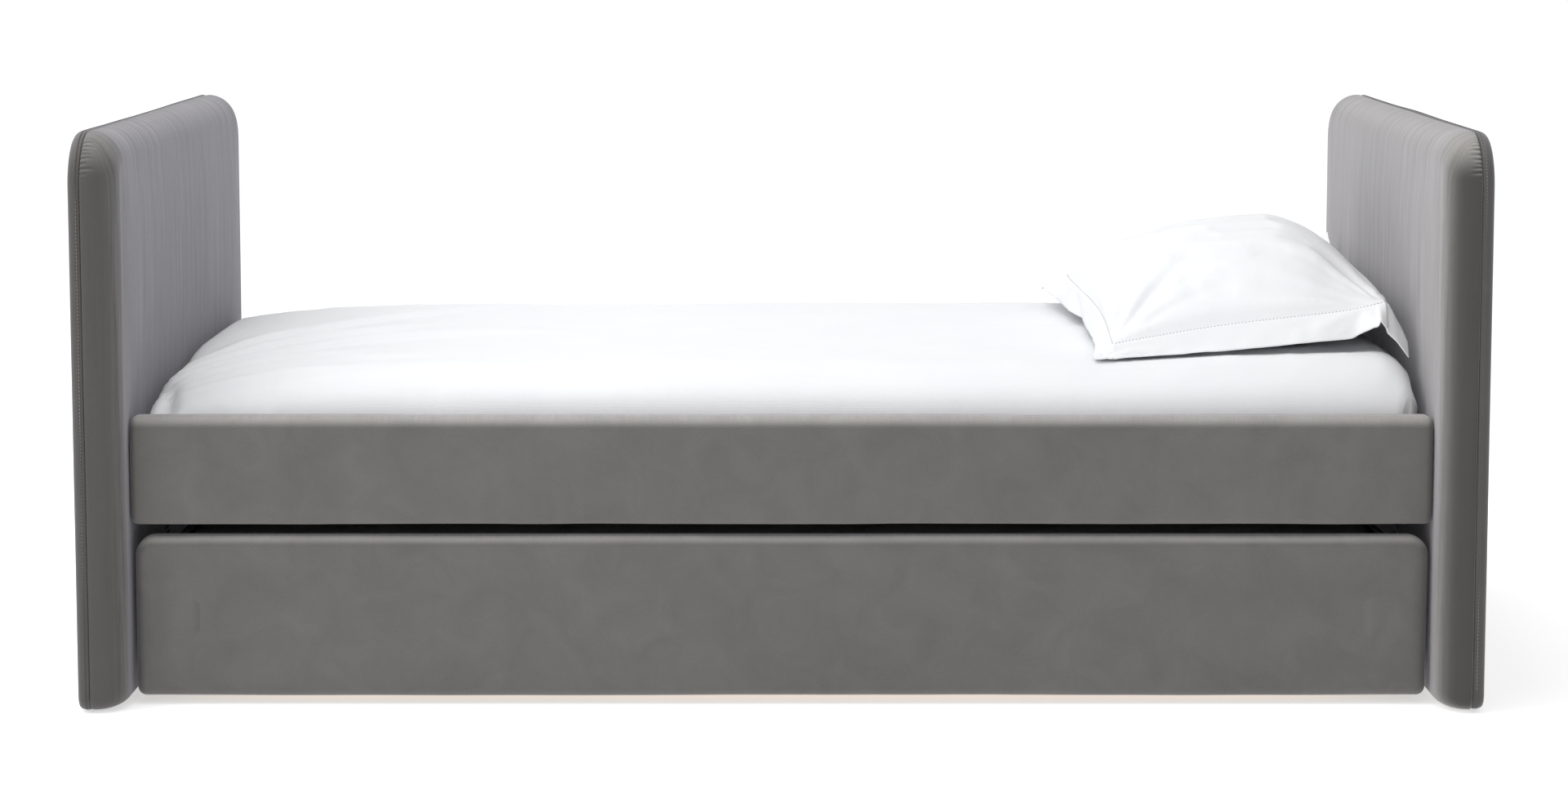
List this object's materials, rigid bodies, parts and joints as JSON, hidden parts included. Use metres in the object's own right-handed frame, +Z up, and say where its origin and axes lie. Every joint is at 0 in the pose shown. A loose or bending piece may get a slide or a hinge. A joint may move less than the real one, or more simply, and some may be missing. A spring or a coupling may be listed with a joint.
{
  "type": "trundle bed",
  "caption": "Upholstered trundle bed: padded end panels and rails, slatted base with a dressed mattress and pillow, and a padded roll-out lower bed on fixed casters.",
  "frame": {"origin": "on the floor under the middle of the bed", "axes": "+X along the bed towards the pillow end, -Y towards the side that the trundle rolls out of, +Z up"},
  "size_m": [2.07, 1.24, 0.853],
  "materials": {
    "grey_velvet": "warm dark grey short-pile velvet with nap streaks",
    "white_cotton": "matt white woven cotton",
    "mattress_ticking": "off-white knitted ticking",
    "charcoal_cover": "matt charcoal woven cover",
    "pine": "plain sanded pine and plywood",
    "black_laminate": "matt black laminated board",
    "zinc_steel": "dull zinc plating",
    "grey_rubber": "matt grey-black rubber",
    "black_nylon": "matt moulded nylon"
  },
  "bodies": {
    "bed": {"left_end_inner_cover": "grey_velvet", "left_end_outer_cover": "grey_velvet", "left_end_board": "pine", "left_front_glide": "black_nylon", "left_front_rail_bracket": "zinc_steel", "left_front_rail_bolt": "zinc_steel", "left_rear_glide": "black_nylon", "left_rear_rail_bracket": "zinc_steel", "left_rear_rail_bolt": "zinc_steel", "right_end_inner_cover": "grey_velvet", "right_end_outer_cover": "grey_velvet", "right_end_board": "pine", "right_front_glide": "black_nylon", "right_front_rail_bracket": "zinc_steel", "right_front_rail_bolt": "zinc_steel", "right_rear_glide": "black_nylon", "right_rear_rail_bracket": "zinc_steel", "right_rear_rail_bolt": "zinc_steel", "front_rail_cover": "grey_velvet", "front_rail_board": "pine", "front_slat_ledge": "pine", "back_rail_cover": "grey_velvet", "back_rail_board": "pine", "back_slat_ledge": "pine", "slat_01": "pine", "slat_02": "pine", "slat_03": "pine", "slat_04": "pine", "slat_05": "pine", "slat_06": "pine", "slat_07": "pine", "slat_08": "pine", "slat_09": "pine", "slat_10": "pine", "slat_11": "pine", "slat_12": "pine", "mattress": "mattress_ticking", "bed_sheet": "white_cotton"},
    "trundle": {"trundle_front_cover": "grey_velvet", "trundle_front_board": "pine", "trundle_left_side": "black_laminate", "trundle_right_side": "black_laminate", "trundle_rear_board": "black_laminate", "trundle_deck": "pine", "trundle_centre_bearer": "pine", "trundle_mattress": "charcoal_cover", "caster_front_left_fork": "zinc_steel", "caster_front_left_axle": "zinc_steel", "caster_front_right_fork": "zinc_steel", "caster_front_right_axle": "zinc_steel", "caster_rear_left_fork": "zinc_steel", "caster_rear_left_axle": "zinc_steel", "caster_rear_right_fork": "zinc_steel", "caster_rear_right_axle": "zinc_steel"},
    "pillow_set": {"pillow": "mattress_ticking", "pillowcase": "white_cotton"},
    "wheel_front_left": {"caster_front_left_wheel": "grey_rubber"},
    "wheel_front_right": {"caster_front_right_wheel": "grey_rubber"},
    "wheel_rear_left": {"caster_rear_left_wheel": "grey_rubber"},
    "wheel_rear_right": {"caster_rear_right_wheel": "grey_rubber"}
  },
  "joints": [
    {"name": "trundle_slide", "type": "slide", "parent": "bed", "child": "trundle", "axis": [0, -1, 0], "range_m": [0, 1]},
    {"name": "pillow_lift", "type": "slide", "parent": "bed", "child": "pillow_set", "axis": [0, 0, 1], "range_m": [0, 0.45]},
    {"name": "wheel_front_left_spin", "type": "hinge", "parent": "trundle", "child": "wheel_front_left", "pos_m": [-0.86, -0.44, 0.03], "axis": [1, 0, 0], "continuous": true},
    {"name": "wheel_front_right_spin", "type": "hinge", "parent": "trundle", "child": "wheel_front_right", "pos_m": [0.86, -0.44, 0.03], "axis": [1, 0, 0], "continuous": true},
    {"name": "wheel_rear_left_spin", "type": "hinge", "parent": "trundle", "child": "wheel_rear_left", "pos_m": [-0.86, 0.44, 0.03], "axis": [1, 0, 0], "continuous": true},
    {"name": "wheel_rear_right_spin", "type": "hinge", "parent": "trundle", "child": "wheel_rear_right", "pos_m": [0.86, 0.44, 0.03], "axis": [1, 0, 0], "continuous": true}
  ],
  "couplings": [
    {"joint": "wheel_front_left_spin", "follows": "trundle_slide", "rad_per_m": 33.333},
    {"joint": "wheel_front_right_spin", "follows": "trundle_slide", "rad_per_m": 33.333},
    {"joint": "wheel_rear_left_spin", "follows": "trundle_slide", "rad_per_m": 33.333},
    {"joint": "wheel_rear_right_spin", "follows": "trundle_slide", "rad_per_m": 33.333}
  ]
}
